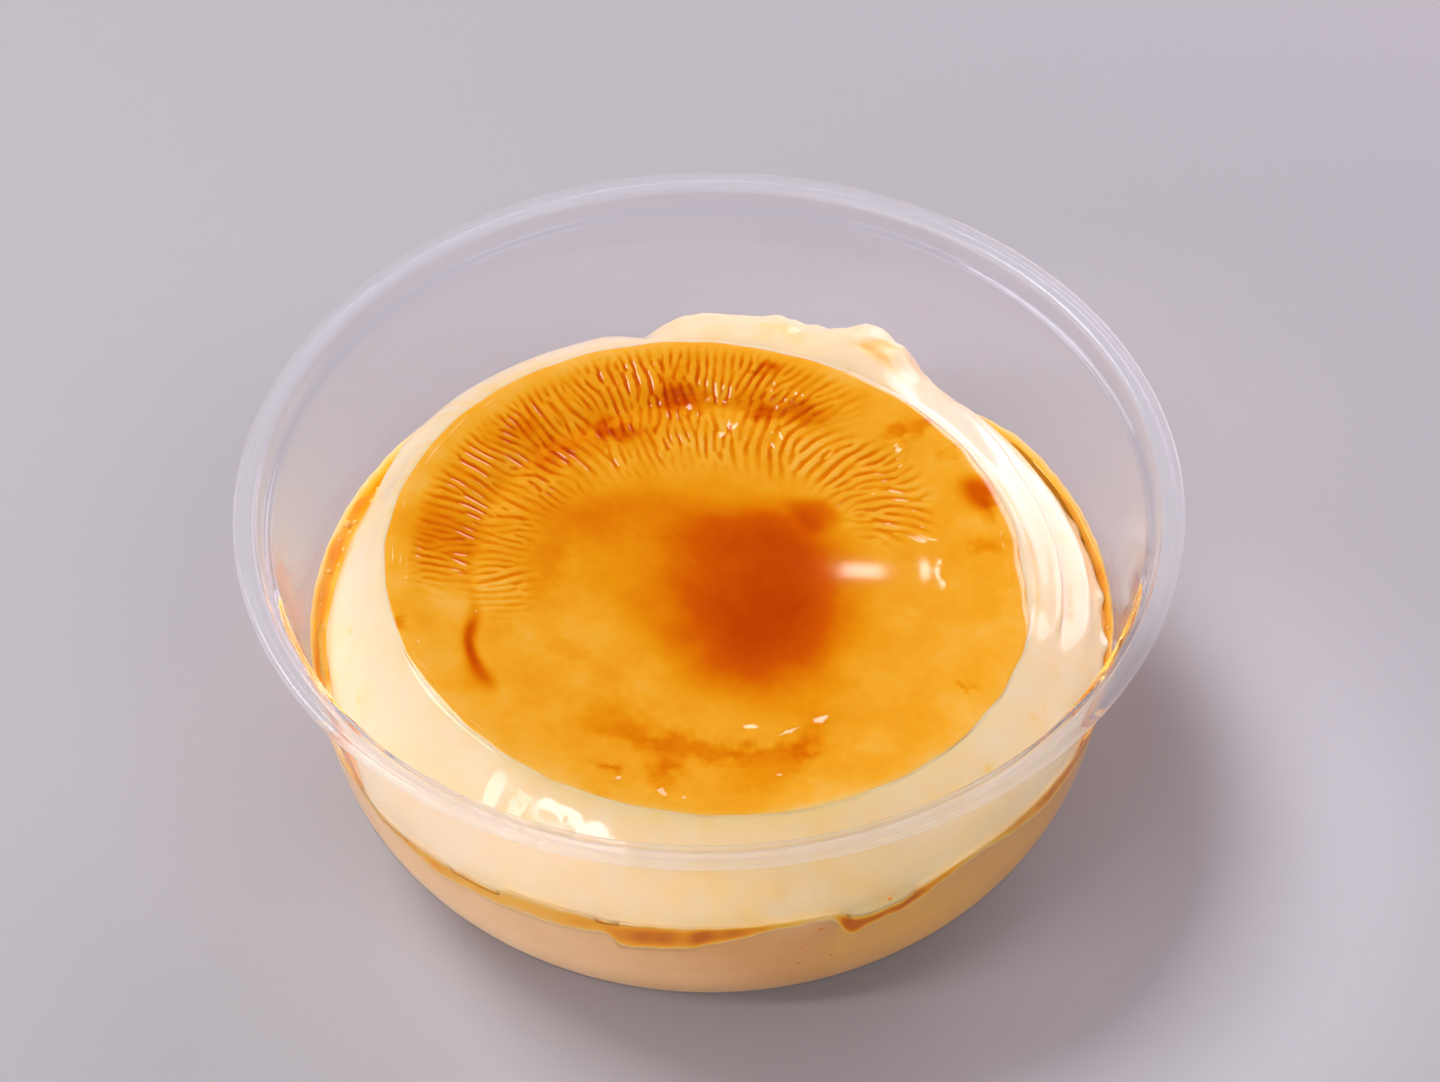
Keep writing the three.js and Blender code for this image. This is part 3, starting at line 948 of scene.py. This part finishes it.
def all_flats():
    random = np.random.default_rng(91)
    flats = list(FLATS)
    for at_x, at_y, reach_x, reach_y, count in SPARKLES:
        for _ in range(count):
            across, up = random.uniform(-1, 1, 2)
            flats.append((at_x + reach_x * across, at_y + reach_y * up, random.uniform(1.0, 1.6),
                          random.uniform(0.55, 0.75), random.uniform(55, 120)))
    return flats


def mirror_slope(x, y):
    """How a flat at this place rises towards +x and +y when it mirrors the small lamp to the front."""
    azimuth, elevation, distance = SMALL_LAMP
    place = Vector((x, y, TOP_HEIGHT - DISH_DEPTH))
    lamp = FOOD_MIDDLE + distance * direction(azimuth, elevation)
    facing = (lamp - place).normalized() + (CAMERA_PLACE - place).normalized()
    return -facing.x / facing.z, -facing.y / facing.z


def flatten(relief, face, x, y, flat):
    """The relief on the top's plain face, with one place turned into a flat that mirrors the small lamp.
    The flat is bent a little, so that it mirrors the lamp all over."""
    at_x, at_y = flat[:2]
    across = x - at_x
    up = y - at_y
    rise_x, rise_y = mirror_slope(at_x, at_y)
    bend_x = mirror_slope(at_x + 1, at_y)[0] - rise_x
    bend_y = mirror_slope(at_x, at_y + 1)[1] - rise_y
    wanted = rise_x * across + rise_y * up + 0.5 * (bend_x * across ** 2 + bend_y * up ** 2) - face
    place = stain(x, y, *flat, 1.0, 8)
    level = ((relief - wanted) * place).sum() / place.sum()
    return relief + place * (wanted + level - relief)


def wrinkle_field(outwards, length):
    """Folds of a shrunken skin: stripes that run along a field of headings, a length apart, and fork
    where they spread. From -1 in a valley to 1 on a crest."""
    turns = 9
    rounds = 8
    shape = outwards.shape
    field = np.random.default_rng(11).standard_normal(shape)
    rows = np.fft.fftfreq(shape[0], FIELD_STEP)[:, None]
    columns = np.fft.fftfreq(shape[1], FIELD_STEP)[None]
    ring = np.exp(-((np.hypot(rows, columns) * length - 1) / 0.28) ** 2)
    heading = np.degrees(np.arctan2(rows, columns))
    filters = []
    shares = []
    for turn in np.arange(turns) * 180 / turns:
        filters.append(ring * (0.05 + np.exp(-(((heading - turn + 90) % 180 - 90) / 19) ** 2)))
        lag = (outwards + 90 - turn + 90) % 180 - 90
        shares.append(np.exp(-(lag / (110 / turns)) ** 2))
    total = sum(shares)
    for _ in range(rounds):
        waves = np.fft.fft2(field)
        parts = [share * np.real(np.fft.ifft2(waves * part)) for share, part in zip(shares, filters)]
        field = sum(parts) / total
        field = np.tanh(1.6 * field / field.std())
    return field


# Knobs on the top: middle x and y, radius and height.
KNOBS = ((-12, -35, 0.7, 0.28), (-7, -36.8, 0.8, 0.3), (-6.2, -37.6, 0.5, 0.2),
         (-4, -37.8, 0.5, 0.22), (7.4, -33.6, 0.6, 0.25), (3.6, -27, 0.5, 0.12),
         (5, -26.8, 0.4, 0.1), (-25.2, -9.6, 0.6, 0.15), (25.5, 22, 0.7, 0.25),
         (26.3, 23.6, 0.6, 0.25), (24.9, 23, 0.5, 0.2))


def top_maps():
    """How deep caramel has soaked into the top, with painted shade in the wrinkles' valleys, and its relief,
    on a square grid of the whole top.
    """
    count = int(2 * FIELD_REACH / FIELD_STEP)
    axis = -FIELD_REACH + FIELD_STEP * np.arange(count)
    x, y = np.meshgrid(axis, axis)
    radius = np.hypot(x, y)
    heading = np.degrees(np.arctan2(y, x))
    angle = heading % 360

    def noise(size, seed):
        return noise_field(x.shape, (FIELD_STEP, FIELD_STEP), size, seed)

    # Two bands of wrinkles either side of the groove, round the back half.
    outer_end = 37.8 + 1.2 * turn_hump(angle, 100, 25)
    outer = span(radius, 28.6, 30.8, outer_end - 2.0, outer_end + 0.8) * span(angle, 50, 74, 176, 193)
    inner_start = 20.5 + 3 * smoothstep(110, 150, angle) + 1.5 * smoothstep(70, 45, angle)
    inner_end = 30.5 + 2.5 * turn_hump(angle, 38, 14)
    inner = span(radius, inner_start - 3.0, inner_start + 2.0, inner_end - 2.5, inner_end + 0.8)
    inner *= span(angle, 10, 24, 182, 204)

    # Their headings: outwards, but fanned out from the pool's lobe and bent on the right.
    outwards = heading + 12 * noise(2.6, 14)
    from_lobe = np.hypot(x - 9, y - 9)
    fan = np.degrees(np.arctan2(y - 9, x - 9)) - 3.0 * (from_lobe - 9) + 6 * noise(3.0, 15)
    fanned = smoothstep(0, 9, x) * smoothstep(34, 29, radius)
    swept = np.degrees(np.arctan2(y - 22, x)) + 8 * noise(2.6, 16)
    sweep = smoothstep(0, 6, x) * smoothstep(29, 31, radius) * smoothstep(20, 26, y)
    outwards += (swept - outwards) * sweep
    outwards += (fan - outwards) * fanned * (1 - sweep)

    patchy = np.clip(0.85 + 0.3 * noise(2.4, 71), 0.15, 1.2) * (1 - 0.35 * turn_hump(angle, 172, 9))
    fine, broad = (wrinkle_field(outwards, length) for length in WRINKLE_LENGTHS)
    broader = smoothstep(-0.5, 0.5, noise(4.0, 13) + 1.2 * fanned)
    folds = fine + (broad - fine) * broader
    strength = np.maximum(outer, 0.85 * inner) * patchy
    valley = smoothstep(-0.2, -0.85, folds)

    # Stains with ragged edges, but smooth ones where they are large or sharp.
    ragged_x = 0.45 * noise(1.4, 51) + 0.2 * noise(0.4, 53)
    ragged_y = 0.45 * noise(1.4, 52) + 0.2 * noise(0.4, 54)
    slow_x = 0.5 * noise(6.0, 55)
    slow_y = 0.5 * noise(6.0, 56)
    soak_and_valley_shade = 0.205 + 0.02 * noise(5.0, 61) + 0.009 * noise(1.5, 62) + 0.005 * noise(0.4, 63)
    for values in STAINS:
        length, width, sharpness = values[2], values[3], values[6]
        large = length > 7 and width > 3.5 or sharpness > 2
        shift_x, shift_y = (slow_x, slow_y) if large else (ragged_x, ragged_y)
        soak_and_valley_shade += stain(x + shift_x, y + shift_y, *values)
    # The wrinkled bands have soaked up more. Painted shade darkens the wrinkles' valleys and leaves their
    # crests a little lighter.
    soak_and_valley_shade += 0.12 * outer + 0.04 * inner + strength * (0.34 * valley - 0.08)
    # It is thinner towards the edge, and most so in front.
    soak_and_valley_shade -= 0.03 * smoothstep(36.5, 39.5, radius)
    soak_and_valley_shade -= 0.12 * smoothstep(39.2, 40.6, radius) * turn_hump(angle, 275, 50)

    # Relief: the groove behind and in front, the folds, lips near the edge, the crease, flats and knobs.
    groove = 0.1 + 0.9 * span(angle, 12, 30, 170, 196) + 0.5 * turn_hump(angle, 275, 30)
    relief = -GROOVE_DEPTH * hump(radius, GROOVE_RADIUS, GROOVE_WIDTH) * groove
    uneven = strength * WRINKLE_RELIEF * (0.3 - valley + 0.3 * folds)
    uneven += 0.006 * noise(4.0, 81) + 0.0012 * noise(1.2, 82) * smoothstep(12, 22, radius)
    # The syrup lies smooth beside the pool, where it mirrors the small lamp.
    relief += uneven * smoothstep(7.5, 12.5, np.hypot(x - 19, y - 2))
    left = span(angle, 168, 176, 200, 206)
    right = span(away(angle, 0), -24, -16, 6, 12)
    relief += (0.135 * left + 0.05 * right) * hump(radius, 37.6, 0.9)
    relief += stain(x, y, -29.3, -12.5, 6.0, 0.7, -84, -0.16, 2)
    face = top_height(radius / top_radius(angle), angle)
    for flat in all_flats():
        relief = flatten(relief, face, x, y, flat)
    for at_x, at_y, size, lift in KNOBS:
        relief += stain(x, y, at_x, at_y, size, size, 0, lift, 2)
    return np.clip(soak_and_valley_shade, 0, 1), relief


def sample(grid, ring):
    """A map's values at a ring's points, each between the four points of the grid round it."""
    u, v = (np.clip((ring[:, axis] + FIELD_REACH) / FIELD_STEP, 0, len(grid) - 1.001) for axis in (0, 1))
    i = u.astype(int)
    j = v.astype(int)
    s = u - i
    t = v - j
    low = grid[j, i] * (1 - s) + grid[j, i + 1] * s
    high = grid[j + 1, i] * (1 - s) + grid[j + 1, i + 1] * s
    return low * (1 - t) + high * t


# The top's colours by how much caramel it has soaked up, plus painted shade in the wrinkles' valleys, and the
# ends, with none and the most.
SOAK_COLOURS = ((0.1, "#FDC052"), (0.2, "#F9AE28"), (0.32, "#F29A0E"), (0.48, "#E67C02"), (0.62, "#D95D00"),
                (0.8, "#C54500"))
SOAK_ENDS = ("#F9D488", "#B83400")


def soaked_custard():
    """Custard soaked with caramel under a skin of syrup: amber, deeper where more has soaked in and with
    painted shade in the wrinkles' valleys, wet.
    """
    material, tree = new_material("caramel-soaked custard skin")
    shader = add_node(tree, "ShaderNodeBsdfPrincipled", {
        "Base Color": mottled(tree, "soak_and_valley_shade", 1.2, 4.0, 0.04, SOAK_ENDS, SOAK_COLOURS),
        "Roughness": 0.4,
        "Specular IOR Level": 0.0,
        "Coat Weight": 1.0,
        "Coat Roughness": 0.04,
    })
    return finish_material(material, shader)


# Angles round the top, close together where its skin is wrinkled.
TOP_ANGLES = np.concatenate([np.arange(-4, 206, 0.28), np.arange(206, 356, 0.5)])
# How the skin's edge curls round, from under it to its face: share, depth below the face.
CURL = ((0.98, 1.2), (0.997, 0.9), (1.002, 0.6), (1.0025, 0.35), (1.0, 0.2), (0.995, 0.11), (0.988, 0.05),
        (0.98, 0.015))


def make_caramel_top(material):
    """The wrinkled skin on the turned-out custard, with its curled edge and its underside."""
    edge = top_radius(TOP_ANGLES)
    soak_and_valley_shade, relief = top_maps()

    def ring_at(share, depth):
        return polar(share * edge, top_height(share, TOP_ANGLES) - depth, TOP_ANGLES)

    rings = [ring_at(share, TOP_THICKNESS) for share in (0, 0.3, 0.6, 0.8, 0.95)]
    rings += [ring_at(share, depth) for share, depth in CURL]
    shares = np.concatenate([np.arange(39.3, 15, -0.4), np.arange(14.5, 0.9, -1.0)]) / TOP_RADIUS
    for share in shares:
        ring = ring_at(share, 0)
        ring[:, 2] += smoothstep(1.0, 0.96, share) * sample(relief, ring)
        rings.append(ring)
    rings.append(ring_at(0, 0))
    piece = skin("caramel_top_skin", rings, {"soak_and_valley_shade": [sample(soak_and_valley_shade, ring) for ring in rings]})
    finish_piece(piece, "caramel_top", material, "caramel_top")


make_camera()
make_studio()
make_bowl(clear_polypropylene("clear moulded polypropylene", 1.0),
          clear_polypropylene("thicker, slightly milky polypropylene", 0.92))
make_lower_custard(set_custard("set custard under the wall", "#F8CA94", "#D99C5E", 0.0))
make_upper_custard(set_custard("set custard, turned out and moist", "#F6DBB1", "#F7CE80", 0.1))
dull_sauce = caramel_sauce("caramel sauce under the wall", 0.0)
wet_sauce = caramel_sauce("caramel sauce, pooled and wet", 1.0)
make_caramel_seam(dull_sauce)
make_sauce_ring(wet_sauce)
make_bubbles_and_specks(wet_sauce, dull_sauce)
make_caramel_top(soaked_custard())
